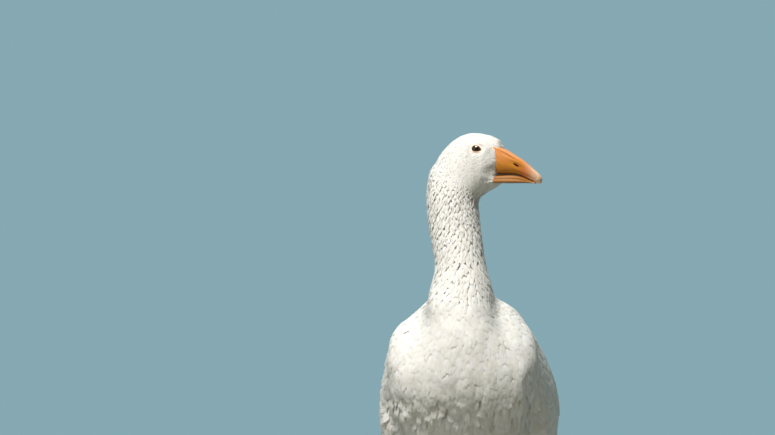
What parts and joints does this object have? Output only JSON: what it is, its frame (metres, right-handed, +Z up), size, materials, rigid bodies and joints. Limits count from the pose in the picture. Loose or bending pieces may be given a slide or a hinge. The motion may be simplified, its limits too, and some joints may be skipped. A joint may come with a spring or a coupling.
{
  "type": "domestic goose",
  "caption": "Life-size white domestic goose standing still, neck upright, head turned to its left, wings folded, orange bill and webbed feet.",
  "frame": {"origin": "on the floor under the middle of the goose's bounding box", "axes": "+Z up, the goose's body faces -Y, its left side is +X"},
  "size_m": [0.2638, 0.659, 0.7611],
  "materials": {
    "plumage": "white feathers, soft and matt, slightly soiled below",
    "bill": "orange horn, satin, with a pale pink nail",
    "eye": "wet dark brown with a black pupil",
    "leg_skin": "orange scaly skin, satin",
    "claw": "pale grey-brown horn, satin",
    "eyelid": "peach bare skin, satin"
  },
  "bodies": {
    "root": {"trunk": "plumage", "neck_lower": "plumage", "neck_upper": "plumage", "head": "plumage", "tail": "plumage", "wing_left": "plumage", "wing_right": "plumage", "thigh_left": "plumage", "thigh_right": "plumage", "bill_upper": "bill", "bill_lower": "bill", "eye_left": "eye", "eye_right": "eye", "shank_left": "leg_skin", "shank_right": "leg_skin", "foot_left": "leg_skin", "foot_right": "leg_skin"}
  },
  "joints": []
}
